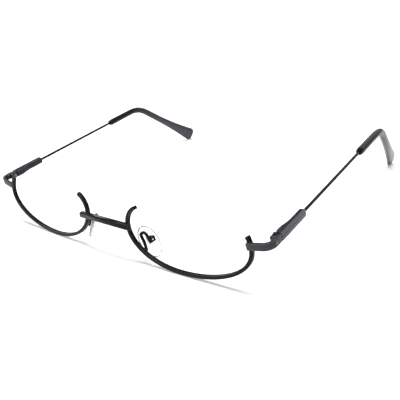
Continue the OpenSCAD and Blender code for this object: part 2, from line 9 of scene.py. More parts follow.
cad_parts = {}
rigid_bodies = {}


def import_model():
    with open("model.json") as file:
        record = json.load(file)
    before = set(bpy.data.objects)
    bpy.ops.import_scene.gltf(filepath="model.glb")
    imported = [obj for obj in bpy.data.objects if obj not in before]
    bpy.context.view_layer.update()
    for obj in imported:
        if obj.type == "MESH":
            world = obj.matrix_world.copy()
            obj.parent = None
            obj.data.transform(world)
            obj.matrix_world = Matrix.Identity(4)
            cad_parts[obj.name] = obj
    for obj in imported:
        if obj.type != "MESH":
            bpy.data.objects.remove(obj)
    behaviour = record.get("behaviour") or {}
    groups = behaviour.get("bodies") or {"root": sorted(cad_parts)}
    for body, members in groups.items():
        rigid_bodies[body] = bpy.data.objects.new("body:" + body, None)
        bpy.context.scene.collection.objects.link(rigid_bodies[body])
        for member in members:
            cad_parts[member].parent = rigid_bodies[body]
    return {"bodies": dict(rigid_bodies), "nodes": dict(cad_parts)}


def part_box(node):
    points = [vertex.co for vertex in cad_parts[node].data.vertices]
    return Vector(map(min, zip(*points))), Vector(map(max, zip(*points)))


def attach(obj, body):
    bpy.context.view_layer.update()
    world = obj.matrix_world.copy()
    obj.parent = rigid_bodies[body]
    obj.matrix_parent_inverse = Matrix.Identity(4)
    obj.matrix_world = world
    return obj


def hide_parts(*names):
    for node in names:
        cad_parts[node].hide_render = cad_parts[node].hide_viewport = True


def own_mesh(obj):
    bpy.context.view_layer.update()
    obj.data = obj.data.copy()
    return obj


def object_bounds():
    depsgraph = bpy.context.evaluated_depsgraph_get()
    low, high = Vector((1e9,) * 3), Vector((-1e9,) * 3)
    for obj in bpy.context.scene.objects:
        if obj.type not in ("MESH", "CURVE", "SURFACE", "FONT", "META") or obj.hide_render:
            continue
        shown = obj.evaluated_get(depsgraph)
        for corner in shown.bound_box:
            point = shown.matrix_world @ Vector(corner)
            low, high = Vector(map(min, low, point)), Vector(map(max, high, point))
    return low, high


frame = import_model()
cad_box = [list(corner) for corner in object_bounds()]

MM = 0.001
SIDES = {"left": 1, "right": -1}

# ---------------------------------------------------------------- sizes of the frame, in mm
EYE_X, TEMPLE_HALF, NOSE_HALF, EYE_DROP = 34.6, 29.2, 23.6, 14.1
NOSE_CURL_R, NOSE_CURL, TEMPLE_CURL_R, TEMPLE_CURL = 7.4, 69.0, 10.0, 33.0
RIM_T, RIM_D, GROOVE_DEPTH, GROOVE_W = 1.35, 1.75, 0.35, 0.7
RIM_WRAP, RIM_LEAN = 2.1, 5.2
BRIDGE_D, LET_IN, EYE_FORWARD, STRIP_T = 1.8, 0.3, 0.45, 1.1
HINGE_OUT, HINGE_BACK, HINGE_RISE = 5.6, 7.8, 4.35
TEMPLE_PITCH, HINGE_LEAN, TOE_IN = 6.3, 8.8, 0.5
EYE_R, EYE_H, EAR_T, FIT_GAP = 0.82, 1.1, 0.66, 0.03
SCREW_R, SCREW_HEAD_R, SCREW_HEAD_H = 0.4, 0.75, 0.4
# width and depth of the screws' slots
HINGE_SLOT, PAD_SLOT = (0.24, 0.18), (0.2, 0.16)
BORE_R, ROD_R, BUSH_L, SPRING_L = 0.6, 0.3, 1.0, 2.1
SPRING_WIRE_R, SPRING_TURNS, SPRING_TRAVEL = 0.07, 3.5, 0.8
BAR_L, BAR_T, HOUSING_T, BAR_SKIN, STRIP_PLAY = 16.3, 1.65, 2.6, 0.06, 0.09
HOUSING_FACE, BUSH_SET_BACK = 0.02, 0.25
WIRE_R, WIRE_L, WIRE_POCKET, WIRE_IN_TIP = 0.55, 47.0, 3.0, 13.5
TIP_L, TIP_STRAIGHT, TIP_BEND_L = 68.0, 14.5, 16.0
TIP_BEND, TIP_CURL, TIP_ROLL = {1: 42.7, -1: 41.4}, {1: 5.0, -1: 17.0}, {1: 10.0, -1: 0.0}
PAD_X, PAD_Y, PAD_DOWN = 17.0, 5.0, 7.4
PAD_L, PAD_W, PAD_T = 13.2, 7.2, 2.0
PAD_SPLAY, PAD_FLARE, PAD_RAKE = 30.0, 25.0, 18.0
BOX_W, PAD_SCREW_R, PAD_HEAD_R, PAD_HEAD_H = 2.7, 0.3, 0.7, 0.4
BOX_WALL, BOX_FRONT = 0.42, -0.8
ARM_SEAT = (0.2, -0.6, BOX_W / 2)

# sizes that the photograph shows a little different from the solids: wire depth, tips, pad arms, bridge
RIM_LOOK_D = 1.6
TIP_D, NECK_D, BEND_SWELL, PADDLE_W, PADDLE_T, PADDLE_ROUND = 3.0, 2.9, 0.4, 8.0, 2.7, 2.6
ARM_LOOK_R, BRIDGE_COAT = 0.6, 0.14
PAD_BACK, PAD_CENTRE_Y, PAD_CENTRE_Z, LUG_LOOK_R, LUG_INTO_PAD = BOX_FRONT - 0.42, -0.5, -0.8, 0.558, 0.25

# width in mm of the rounding on each dressed piece's edges, and its slot
ROUNDED = {"end_piece": (0.16, "gunmetal"), "temple_bar": (0.16, "gunmetal"), "front_hinge": (0.08, "gunmetal"),
           "pad_box": (0.14, "black_metal"), "spring_bush": (0.05, "polished_steel")}


def turn_x(p, a):
    c, s = math.cos(math.radians(a)), math.sin(math.radians(a))
    return Vector((p[0], p[1] * c - p[2] * s, p[1] * s + p[2] * c))


def turn_y(p, a):
    c, s = math.cos(math.radians(a)), math.sin(math.radians(a))
    return Vector((p[0] * c + p[2] * s, p[1], p[2] * c - p[0] * s))


def turn_z(p, a):
    c, s = math.cos(math.radians(a)), math.sin(math.radians(a))
    return Vector((p[0] * c - p[1] * s, p[0] * s + p[1] * c, p[2]))


EYE_Z = (EYE_DROP + RIM_T / 2) * math.cos(math.radians(RIM_LEAN)) + RIM_D / 2 * math.sin(math.radians(RIM_LEAN))
EYE_Y = NOSE_HALF * math.sin(math.radians(RIM_WRAP)) + EYE_FORWARD
bridge_front = (Vector((EYE_X, EYE_Y, EYE_Z)) + turn_z(turn_x((-NOSE_HALF, -RIM_D / 2, 0), -RIM_LEAN), RIM_WRAP))[1]
MID_Y = bridge_front - BRIDGE_D + LET_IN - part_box("bridge")[0][1] / MM
EYE = Vector((EYE_X, EYE_Y - MID_Y, EYE_Z))
HINGE = Vector((EYE_X + TEMPLE_HALF + HINGE_OUT, HINGE_BACK - MID_Y, EYE_Z + HINGE_RISE))
PAD = Vector((PAD_X, PAD_Y - MID_Y, EYE_Z - PAD_DOWN))
STRIP_OUT = STRIP_T + EYE_R + FIT_GAP + STRIP_PLAY
HINGE_H = EYE_H + 2 * FIT_GAP + 2 * EAR_T
BORE_X = STRIP_OUT - HOUSING_T / 2 - BAR_SKIN
BUSH_START = EYE_R + HOUSING_FACE + BUSH_SET_BACK
BAR_MID_X = STRIP_OUT - BAR_T / 2


def from_eye(u, v, w):
    return EYE + turn_z(turn_x((u, w, v), -RIM_LEAN), RIM_WRAP)


def from_hinge(p):
    return HINGE + turn_z(turn_x(turn_y(p, -HINGE_LEAN), TEMPLE_PITCH), TOE_IN)


def from_pad(p):
    return PAD + turn_z(turn_y(turn_x(p, PAD_RAKE), -PAD_FLARE), -PAD_SPLAY)


BAR_REAR = from_hinge((BAR_MID_X, BAR_L, 0))


def from_temple(p):
    return BAR_REAR + turn_z(turn_x(p, TEMPLE_PITCH), TOE_IN)


# ---------------------------------------------------------------- node groups and materials
def group(name, ins, outs):
    tree = bpy.data.node_groups.new(name, "ShaderNodeTree")
    for label, kind, value in ins:
        socket = tree.interface.new_socket(name=label, in_out="INPUT", socket_type=kind)
        socket.default_value = value
    for label, kind in outs:
        tree.interface.new_socket(name=label, in_out="OUTPUT", socket_type=kind)
    return tree, tree.nodes.new("NodeGroupInput"), tree.nodes.new("NodeGroupOutput")


def math_node(tree, operation, a, b=None, clamp=False):
    node = tree.nodes.new("ShaderNodeMath")
    node.operation = operation
    node.use_clamp = clamp
    for socket, value in zip(node.inputs, (a, b)):
        if value is None:
            continue
        if isinstance(value, (int, float)):
            socket.default_value = value
        else:
            tree.links.new(value, socket)
    return node.outputs[0]


def noise(tree, vector, scale, detail=2.0, rough=0.5):
    node = tree.nodes.new("ShaderNodeTexNoise")
    tree.links.new(vector, node.inputs["Vector"])
    if isinstance(scale, (int, float)):
        node.inputs["Scale"].default_value = scale
    else:
        tree.links.new(scale, node.inputs["Scale"])
    node.inputs["Detail"].default_value = detail
    node.inputs["Roughness"].default_value = rough
    return node.outputs["Fac"]


def plating_group():
    """Plated or lacquered metal: fine orange peel, cloudy gloss and faint draw lines along the piece."""
    tree, inp, out = group(
        "plated surface",
        [("Vector", "NodeSocketVector", (0, 0, 0)), ("Peel Scale", "NodeSocketFloat", 2600.0),
         ("Cloud Scale", "NodeSocketFloat", 160.0), ("Gloss Low", "NodeSocketFloat", 0.1),
         ("Gloss High", "NodeSocketFloat", 0.25)],
        [("Mottle", "NodeSocketFloat"), ("Roughness", "NodeSocketFloat"), ("Height", "NodeSocketFloat")])
    vector = inp.outputs["Vector"]
    clouds = noise(tree, vector, inp.outputs["Cloud Scale"], 3.0)
    peel = noise(tree, vector, inp.outputs["Peel Scale"], 2.0)
    spread = math_node(tree, "SUBTRACT", inp.outputs["Gloss High"], inp.outputs["Gloss Low"])
    rough = math_node(tree, "ADD", math_node(tree, "MULTIPLY", spread, clouds), inp.outputs["Gloss Low"])
    tree.links.new(clouds, out.inputs["Mottle"])
    tree.links.new(rough, out.inputs["Roughness"])
    tree.links.new(peel, out.inputs["Height"])
    return tree


def brushed_group():
    """Brushed metal: long thin lines along the local Y of the mapped coordinates."""
    tree, inp, out = group(
        "brushed lines",
        [("Vector", "NodeSocketVector", (0, 0, 0)), ("Line Scale", "NodeSocketFloat", 9000.0),
         ("Stretch", "NodeSocketFloat", 0.02)],
        [("Lines", "NodeSocketFloat"), ("Height", "NodeSocketFloat")])
    stretch = tree.nodes.new("ShaderNodeCombineXYZ")
    stretch.inputs["X"].default_value = 1.0
    tree.links.new(inp.outputs["Stretch"], stretch.inputs["Y"])
    stretch.inputs["Z"].default_value = 1.0
    product = tree.nodes.new("ShaderNodeVectorMath")
    product.operation = "MULTIPLY"
    tree.links.new(inp.outputs["Vector"], product.inputs[0])
    tree.links.new(stretch.outputs[0], product.inputs[1])
    lines = noise(tree, product.outputs[0], inp.outputs["Line Scale"], 4.0, 0.6)
    tree.links.new(lines, out.inputs["Lines"])
    tree.links.new(lines, out.inputs["Height"])
    return tree


def edge_group():
    """Mask of the outer edges, where the plating thins and where a highlight is painted on them."""
    tree, inp, out = group(
        "worn edges",
        [("Radius", "NodeSocketFloat", 0.0002), ("Low", "NodeSocketFloat", 0.02), ("High", "NodeSocketFloat", 0.2)],
        [("Mask", "NodeSocketFloat")])
    bevel = tree.nodes.new("ShaderNodeBevel")
    bevel.samples = 4
    tree.links.new(inp.outputs["Radius"], bevel.inputs["Radius"])
    plain = tree.nodes.new("ShaderNodeNewGeometry")
    dot = tree.nodes.new("ShaderNodeVectorMath")
    dot.operation = "DOT_PRODUCT"
    tree.links.new(bevel.outputs["Normal"], dot.inputs[0])
    tree.links.new(plain.outputs["Normal"], dot.inputs[1])
    turned = math_node(tree, "SUBTRACT", 1.0, dot.outputs["Value"])
    low = math_node(tree, "SUBTRACT", turned, inp.outputs["Low"])
    span = math_node(tree, "SUBTRACT", inp.outputs["High"], inp.outputs["Low"])
    mask = math_node(tree, "DIVIDE", low, span, clamp=True)
    tree.links.new(mask, out.inputs["Mask"])
    return tree


def seam_group():
    """Thin line at one level along the temple, the seam between the bar and its spring housing: a groove, and the
    mask of the painted shade in it.
    """
    tree, inp, out = group(
        "seam groove and painted shade",
        [("Vector", "NodeSocketVector", (0, 0, 0)), ("Level", "NodeSocketFloat", 0.0),
         ("Half Width", "NodeSocketFloat", 0.00016)],
        [("Mask", "NodeSocketFloat"), ("Height", "NodeSocketFloat")])
    parts = tree.nodes.new("ShaderNodeSeparateXYZ")
    tree.links.new(inp.outputs["Vector"], parts.inputs[0])
    off = math_node(tree, "ABSOLUTE", math_node(tree, "SUBTRACT", parts.outputs["Z"], inp.outputs["Level"]))
    share = math_node(tree, "DIVIDE", off, inp.outputs["Half Width"], clamp=True)
    mask = math_node(tree, "SUBTRACT", 1.0, math_node(tree, "POWER", share, 2.0))
    tree.links.new(mask, out.inputs["Mask"])
    tree.links.new(math_node(tree, "MULTIPLY", mask, -4.0), out.inputs["Height"])
    return tree


PLATING, BRUSHED, EDGES, SEAM = plating_group(), brushed_group(), edge_group(), seam_group()


def placed_group(tree, kind, vector, **values):
    node = tree.nodes.new("ShaderNodeGroup")
    node.node_tree = kind
    if vector is not None:
        tree.links.new(vector, node.inputs["Vector"])
    for label, value in values.items():
        node.inputs[label.replace("_", " ")].default_value = value
    return node


def mix_colour(tree, mask, low, high):
    node = tree.nodes.new("ShaderNodeMix")
    node.data_type = "RGBA"
    if isinstance(mask, (int, float)):
        node.inputs["Factor"].default_value = mask
    else:
        tree.links.new(mask, node.inputs["Factor"])
    for label, value in (("A", low), ("B", high)):
        socket = next(s for s in node.inputs if s.name == label and s.type == "RGBA")
        if isinstance(value, tuple):
            socket.default_value = (*value, 1.0)
        else:
            tree.links.new(value, socket)
    return next(s for s in node.outputs if s.type == "RGBA")


def new_material(name):
    material = bpy.data.materials.new(name)
    material.use_nodes = True
    tree = material.node_tree
    shader = tree.nodes["Principled BSDF"]
    coordinates = tree.nodes.new("ShaderNodeTexCoord").outputs["Object"]
    return material, tree, shader, coordinates


def bumped(tree, shader, height, strength, distance):
    bump = tree.nodes.new("ShaderNodeBump")
    bump.inputs["Strength"].default_value = strength
    bump.inputs["Distance"].default_value = distance
    tree.links.new(height, bump.inputs["Height"])
    tree.links.new(bump.outputs["Normal"], shader.inputs["Normal"])


def turned_coordinates(tree, coordinates, rotation):
    mapping = tree.nodes.new("ShaderNodeMapping")
    mapping.vector_type = "TEXTURE"
    mapping.inputs["Rotation"].default_value = [math.radians(a) for a in rotation]
    tree.links.new(coordinates, mapping.inputs["Vector"])
    return mapping.outputs["Vector"]


INNER_FROM, INNER_BLEND = MM * (HINGE[0] + 1.1), MM * 0.6
PEEL_DEPTH, GRAIN_DEPTH, CLOUDING_DEPTH = 0.00002, 0.00003, 0.00004


def metal(name, dark, light, gloss, metallic, rotation=None, lines=0.0, specular=0.5, peel=0.25, worn_and_highlit=None,
          edge=0.0002, cloud=160.0, seam=None, inner=None):
    """Plated or lacquered metal between two colours.

    rotation turns the brush lines along the piece, in degrees, and lines is their share. The edge colour paints
    wear and a highlight on its edges, edge is their radius, seam the level of its seam, a groove darkened with
    painted shade, and inner the colour of its inner side.
    """
    material, tree, shader, coordinates = new_material(name)
    surface = placed_group(tree, PLATING, coordinates, Cloud_Scale=cloud, Gloss_Low=gloss[0], Gloss_High=gloss[1])
    mask = surface.outputs["Mottle"]
    height = surface.outputs["Height"]
    roughness = surface.outputs["Roughness"]
    if rotation is not None:
        along = turned_coordinates(tree, coordinates, rotation)
        brush = placed_group(tree, BRUSHED, along)
        mask = math_node(tree, "ADD", math_node(tree, "MULTIPLY", mask, 1 - lines),
                         math_node(tree, "MULTIPLY", brush.outputs["Lines"], lines))
        height = math_node(tree, "ADD", height, math_node(tree, "MULTIPLY", brush.outputs["Height"], lines * 3))
    colour = mix_colour(tree, mask, dark, light)
    if inner is not None:
        parts = tree.nodes.new("ShaderNodeSeparateXYZ")
        tree.links.new(coordinates, parts.inputs[0])
        outward = math_node(tree, "SUBTRACT", math_node(tree, "ABSOLUTE", parts.outputs["X"]), INNER_FROM)
        colour = mix_colour(tree, math_node(tree, "DIVIDE", outward, INNER_BLEND, clamp=True), inner, colour)
    # the edges take a lighter colour: wear, and a painted highlight along them
    if worn_and_highlit is not None:
        edges = placed_group(tree, EDGES, None, Radius=edge)
        colour = mix_colour(tree, edges.outputs["Mask"], colour, worn_and_highlit)
    if seam is not None:
        line = placed_group(tree, SEAM, along, Level=seam)
        # painted shade darkens the seam's groove
        colour = mix_colour(tree, line.outputs["Mask"], colour, tuple(0.25 * c for c in dark))
        height = math_node(tree, "ADD", height, line.outputs["Height"])
    tree.links.new(colour, shader.inputs["Base Color"])
    tree.links.new(roughness, shader.inputs["Roughness"])
    shader.inputs["Metallic"].default_value = metallic
    shader.inputs["Specular IOR Level"].default_value = specular
    bumped(tree, shader, height, peel, PEEL_DEPTH)
    return material


TEMPLE_TURN = (TEMPLE_PITCH, 0, 0)
# height of the bars' seam in coordinates turned with the temples
SEAM_LEVEL = MM * (HINGE[2] * math.cos(math.radians(TEMPLE_PITCH)) - HINGE[1] * math.sin(math.radians(TEMPLE_PITCH))
                   + STRIP_OUT * math.sin(math.radians(HINGE_LEAN)))

# the lighter edge colours here paint wear and a highlight along the edges
BLACK = metal("black_lacquer", (0.001, 0.001, 0.0015), (0.015, 0.015, 0.0165), (0.08, 0.2), 0.0, specular=0.12,
              worn_and_highlit=(0.07, 0.07, 0.074), cloud=95.0)
BLACK_BAR = metal("black_bar", (0.005, 0.005, 0.0055), (0.014, 0.014, 0.015), (0.14, 0.28), 0.0,
                  rotation=(0, 0, 90), lines=0.4, specular=0.12, worn_and_highlit=(0.11, 0.11, 0.118), edge=0.0006)
GUNMETAL = metal("gunmetal_satin", (0.024, 0.0243, 0.028), (0.062, 0.0625, 0.072), (0.3, 0.46), 0.7,
                 rotation=TEMPLE_TURN, lines=0.5, worn_and_highlit=(0.15, 0.152, 0.175), edge=0.0004, specular=0.3)
BAR = metal("gunmetal_bar", (0.056, 0.057, 0.067), (0.125, 0.126, 0.148), (0.3, 0.46), 0.7,
            rotation=TEMPLE_TURN, lines=0.5, worn_and_highlit=(0.15, 0.152, 0.175), edge=0.0004, seam=SEAM_LEVEL,
            inner=(0.018, 0.0185, 0.025), specular=0.4)
STEEL = metal("polished_steel", (0.12, 0.12, 0.123), (0.22, 0.22, 0.225), (0.16, 0.3), 1.0)
DARK_SCREW = metal("blackened_screw", (0.012, 0.012, 0.013), (0.03, 0.03, 0.033), (0.2, 0.36), 0.5)


def tip_material():
    """Moulded plastic with a fine grain: black and glossy in front, a paler satin toward the paddle."""
    material, tree, shader, coordinates = new_material("tip_plastic")
    surface = placed_group(tree, PLATING, coordinates, Peel_Scale=5200.0, Cloud_Scale=110.0,
                           Gloss_Low=0.2, Gloss_High=0.34)
    front = mix_colour(tree, surface.outputs["Mottle"], (0.003, 0.003, 0.004), (0.007, 0.007, 0.01))
    paddle = mix_colour(tree, surface.outputs["Mottle"], (0.007, 0.0073, 0.017), (0.02, 0.0205, 0.041))
    along = tree.nodes.new("ShaderNodeAttribute")
    along.attribute_name = "along_tip"
    share = along.outputs["Fac"]
    tree.links.new(mix_colour(tree, share, front, paddle), shader.inputs["Base Color"])
    tree.links.new(math_node(tree, "ADD", surface.outputs["Roughness"], math_node(tree, "MULTIPLY", share, 0.16)),
                   shader.inputs["Roughness"])
    tree.links.new(math_node(tree, "MULTIPLY", share, 0.85), shader.inputs["Coat Weight"])
    shader.inputs["Coat Roughness"].default_value = 0.35
    shader.inputs["Specular IOR Level"].default_value = 0.2
    bumped(tree, shader, surface.outputs["Height"], 0.3, GRAIN_DEPTH)
    return material


def pad_material():
    """Clear moulded pad with faint clouding, and a grey band of painted shade round its edge that draws its
    outline.
    """
    material, tree, shader, coordinates = new_material("clear_pad")
    surface = placed_group(tree, PLATING, coordinates, Peel_Scale=900.0, Cloud_Scale=300.0,
                           Gloss_Low=0.03, Gloss_High=0.12)
    colour = mix_colour(tree, surface.outputs["Mottle"], (0.955, 0.96, 0.965), (0.985, 0.988, 0.99))
    band = tree.nodes.new("ShaderNodeAttribute")
    band.attribute_name = "edge_band"
    # painted shade: a grey band round the pad's edge draws its outline
    colour = mix_colour(tree, band.outputs["Fac"], colour, (0.32, 0.33, 0.35))
    tree.links.new(colour, shader.inputs["Base Color"])
    tree.links.new(surface.outputs["Roughness"], shader.inputs["Roughness"])
    shader.inputs["Transmission Weight"].default_value = 1.0
    shader.inputs["IOR"].default_value = 1.49
    bumped(tree, shader, surface.outputs["Height"], 0.1, CLOUDING_DEPTH)
    return material


TIP = tip_material()
CLEAR = pad_material()


# ---------------------------------------------------------------- pieces
def body_of_node(node):
    return next(name for name, body in frame["bodies"].items() if frame["nodes"][node].parent is body)


def add_piece(name, mesh, material, body, replaces=()):
    piece = bpy.data.objects.new(name, mesh)
    bpy.context.collection.objects.link(piece)
    mesh.materials.clear()
    mesh.materials.append(material)
    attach(piece, body)
    if replaces:
        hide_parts(*replaces)
    return piece


SMOOTH_BELOW, ROUND_ABOVE, SHARP_WHEN_ROUNDED = math.radians(38), math.radians(32), math.radians(50)
MERGE_WITHIN = 0.000002


def look_of(node):
    if "tip" in node:
        return TIP
    if "nose_pad" in node:
        return CLEAR
    if "bridge" in node:
        return BLACK_BAR
    if "temple_bar" in node:
        return BAR
    if "end_piece" in node or "front_hinge" in node:
        return GUNMETAL
    if "rivet" in node or "screw" in node:
        return DARK_SCREW
    if "knuckle" in node or "spring" in node:
        return STEEL
    return BLACK


for node, cad in frame["nodes"].items():
    if not cad.material_slots:
        cad.data.materials.append(look_of(node))
    for entry in cad.material_slots:
        entry.material = look_of(node)


def finished(mesh, angle=SMOOTH_BELOW):
    """Smooth shading with sharp edges above that angle."""
    for face in mesh.polygons:
        face.use_smooth = True
    mesh.set_sharp_from_angle(angle=angle)
    return mesh


def mesh_of(name, bm, side=1):
    """Mesh of a bmesh drawn in mm for the left side, in metres on the given side."""
    bm.transform(Matrix.Diagonal((side * MM, MM, MM, 1)))
    bmesh.ops.recalc_face_normals(bm, faces=bm.faces)
    mesh = bpy.data.meshes.new(name)
    bm.to_mesh(mesh)
    bm.free()
    return finished(mesh)


def add_loft(bm, rings):
    loops = [[bm.verts.new(p) for p in ring] for ring in rings]
    count = len(rings[0])
    for low, high in zip(loops, loops[1:]):
        for j in range(count):
            bm.faces.new((low[j], low[(j + 1) % count], high[(j + 1) % count], high[j]))
    bm.faces.new(loops[0])
    bm.faces.new(loops[-1])


def loft(name, rings, side):
    bm = bmesh.new()
    add_loft(bm, rings)
    return mesh_of(name, bm, side)


def evaluated(name, source, modify):
    """The mesh that a modifier makes of a mesh. modify gets the throwaway object and adds the modifier."""
    helper = bpy.data.objects.new(name + "_source", source)
    bpy.context.collection.objects.link(helper)
    modify(helper)
    graph = bpy.context.evaluated_depsgraph_get()
    result = bpy.data.meshes.new_from_object(helper.evaluated_get(graph))
    helper.modifiers.clear()
    bpy.data.objects.remove(helper)
    result.name = name
    return result


def dressed(node, width, segments=3, coat=0.0):
    """Copy of a CAD solid with its sharp edges rounded and its faces moved out by coat. Sizes are in mm."""
    cad = frame["nodes"][node]
    bm = bmesh.new()
    bm.from_mesh(cad.data)
    bm.transform(cad.matrix_world)
    bmesh.ops.remove_doubles(bm, verts=bm.verts, dist=MERGE_WITHIN)
    bmesh.ops.dissolve_limit(bm, angle_limit=math.radians(1), verts=bm.verts, edges=bm.edges)
    bm.normal_update()
    for vert in bm.verts:
        vert.co += vert.normal * vert.calc_shell_factor() * coat * MM
    plain = bpy.data.meshes.new(node + "_plain")
    bm.to_mesh(plain)
    bm.free()

    def bevel(helper):
        modifier = helper.modifiers.new("bevel", "BEVEL")
        modifier.width = width * MM
        modifier.segments = segments
        modifier.limit_method = "ANGLE"
        modifier.angle_limit = ROUND_ABOVE
        modifier.use_clamp_overlap = True
        modifier.miter_outer = "MITER_ARC"

    return finished(evaluated(node, plain, bevel), SHARP_WHEN_ROUNDED)


def placement(place, side):
    """Matrix from a local frame in mm, such as the hinge's, to metres on that side."""
    origin = place((0, 0, 0))
    axes = [place(unit) - origin for unit in ((1, 0, 0), (0, 1, 0), (0, 0, 1))]
    matrix = Matrix(axes).transposed().to_4x4()
    matrix.translation = origin
    return Matrix.Diagonal((side * MM, MM, MM, 1)) @ matrix


def put(mesh, matrix):
    mesh.transform(matrix)
    if matrix.determinant() < 0:
        mesh.flip_normals()
    return mesh


# ---------------------------------------------------------------- geometry node trees
def geometry_tree(name, ins):
    tree = bpy.data.node_groups.new(name, "GeometryNodeTree")
    tree.is_modifier = True
    tree.interface.new_socket(name="Geometry", in_out="INPUT", socket_type="NodeSocketGeometry")
    for label, kind in ins:
        tree.interface.new_socket(name=label, in_out="INPUT", socket_type=kind)
    tree.interface.new_socket(name="Geometry", in_out="OUTPUT", socket_type="NodeSocketGeometry")
    return tree, tree.nodes.new("NodeGroupInput"), tree.nodes.new("NodeGroupOutput")


def swept(tree, inp, out, curve):
    """Round wire along a curve, ending in real geometry with its material."""
    link = tree.links.new
    circle = tree.nodes.new("GeometryNodeCurvePrimitiveCircle")
    link(inp.outputs["Sides"], circle.inputs["Resolution"])
    link(inp.outputs["Wire Radius"], circle.inputs["Radius"])
    sweep = tree.nodes.new("GeometryNodeCurveToMesh")
    sweep.inputs["Fill Caps"].default_value = True
    link(curve, sweep.inputs["Curve"])
    link(circle.outputs["Curve"], sweep.inputs["Profile Curve"])
    real = tree.nodes.new("GeometryNodeRealizeInstances")
    link(sweep.outputs["Mesh"], real.inputs["Geometry"])
    paint = tree.nodes.new("GeometryNodeSetMaterial")
    link(real.outputs["Geometry"], paint.inputs["Geometry"])
    link(inp.outputs["Material"], paint.inputs["Material"])
    link(paint.outputs["Geometry"], out.inputs["Geometry"])


def wire_tree():
    """Wire along the polyline that comes in, rounded between its points."""
    tree, inp, out = geometry_tree("wire along a path", [
        ("Wire Radius", "NodeSocketFloat"), ("Sides", "NodeSocketInt"), ("Step", "NodeSocketFloat"),
        ("Material", "NodeSocketMaterial")])
    curve = tree.nodes.new("GeometryNodeMeshToCurve")
    tree.links.new(inp.outputs["Geometry"], curve.inputs["Mesh"])
    kind = tree.nodes.new("GeometryNodeCurveSplineType")
    kind.spline_type = "CATMULL_ROM"
    tree.links.new(curve.outputs["Curve"], kind.inputs["Curve"])
    even = tree.nodes.new("GeometryNodeResampleCurve")
    even.mode = "LENGTH"
    tree.links.new(kind.outputs["Curve"], even.inputs["Curve"])
    tree.links.new(inp.outputs["Step"], even.inputs["Length"])
    swept(tree, inp, out, even.outputs["Curve"])
    return tree


def coil_tree():
    """Coil spring along Z from the origin, with its wire's own radius."""
    tree, inp, out = geometry_tree("coil", [
        ("Wire Radius", "NodeSocketFloat"), ("Sides", "NodeSocketInt"), ("Coil Radius", "NodeSocketFloat"),
        ("Turns", "NodeSocketFloat"), ("Rise", "NodeSocketFloat"), ("Material", "NodeSocketMaterial")])
    spiral = tree.nodes.new("GeometryNodeCurveSpiral")
    spiral.inputs["Resolution"].default_value = 40
    tree.links.new(inp.outputs["Turns"], spiral.inputs["Rotations"])
    tree.links.new(inp.outputs["Coil Radius"], spiral.inputs["Start Radius"])
    tree.links.new(inp.outputs["Coil Radius"], spiral.inputs["End Radius"])
    tree.links.new(inp.outputs["Rise"], spiral.inputs["Height"])
    swept(tree, inp, out, spiral.outputs["Curve"])
    return tree


WIRE, COIL = wire_tree(), coil_tree()


def grown(name, tree, source, **values):
    """Plain mesh that a tree makes, with its named inputs set by their sockets' identifiers."""
    def modify(helper):
        modifier = helper.modifiers.new("grow", "NODES")
        modifier.node_group = tree
        for item in tree.interface.items_tree:
            if item.item_type == "SOCKET" and item.in_out == "INPUT" and item.name in values:
                modifier[item.identifier] = values[item.name]
    return evaluated(name, source, modify)


def polyline(name, points):
    mesh = bpy.data.meshes.new(name + "_path")
    mesh.from_pydata([tuple(p) for p in points], [(i, i + 1) for i in range(len(points) - 1)], [])
    return mesh


# ---------------------------------------------------------------- rims
def ease(t):
    return t * t * (3 - 2 * t)


def clamp01(t):
    return max(0.0, min(1.0, t))


def cos_sin(angle):
    return math.cos(math.radians(angle)), math.sin(math.radians(angle))


def full_turn(sides):
    return [cos_sin(360 * j / sides) for j in range(sides)]


def rim_path():
    """Places and outward normals in the plane of the eye, from the nose to the temple."""
    path = []
    curl_steps, arc_steps = 30, 48
    for i in range(curl_steps, 0, -1):
        c, s = cos_sin(NOSE_CURL * i / curl_steps)
        path.append(((-(NOSE_HALF - NOSE_CURL_R + NOSE_CURL_R * c), NOSE_CURL_R * s), (-c, s)))
    for half, sense, order in ((NOSE_HALF, -1, range(arc_steps)), (TEMPLE_HALF, 1, range(arc_steps, -1, -1))):
        for i in order:
            c, s = cos_sin(90 * i / arc_steps)
            normal = Vector((EYE_DROP * c, half * s)).normalized()
            path.append(((sense * half * c, -EYE_DROP * s), (sense * normal[0], -normal[1])))
    for i in range(1, curl_steps + 1):
        c, s = cos_sin(TEMPLE_CURL * i / curl_steps)
        path.append(((TEMPLE_HALF - TEMPLE_CURL_R + TEMPLE_CURL_R * c, TEMPLE_CURL_R * s), (c, s)))
    return path


def rim_section():
    """Outward distance and depth round the wire: round outside, with the V groove inside."""
    outer, inner, lip, steps = 0.34, 0.12, 0.05, 6
    half_t, half_d = RIM_T / 2, RIM_LOOK_D / 2

    def corner(along, across, radius, start):
        turns = [cos_sin(start - 90 * i / steps) for i in range(steps + 1)]
        return [(along * (half_t - radius) + radius * c, across * (half_d - radius) + radius * s) for c, s in turns]

    groove = [(-half_t, -GROOVE_W / 2 - lip), (-half_t + lip, -GROOVE_W / 2 + lip), (-half_t + GROOVE_DEPTH, 0.0),
              (-half_t + lip, GROOVE_W / 2 - lip), (-half_t, GROOVE_W / 2 + lip)]
    return (corner(1, -1, outer, 0) + corner(-1, -1, inner, -90) + groove
            + corner(-1, 1, inner, 180) + corner(1, 1, outer, 90))


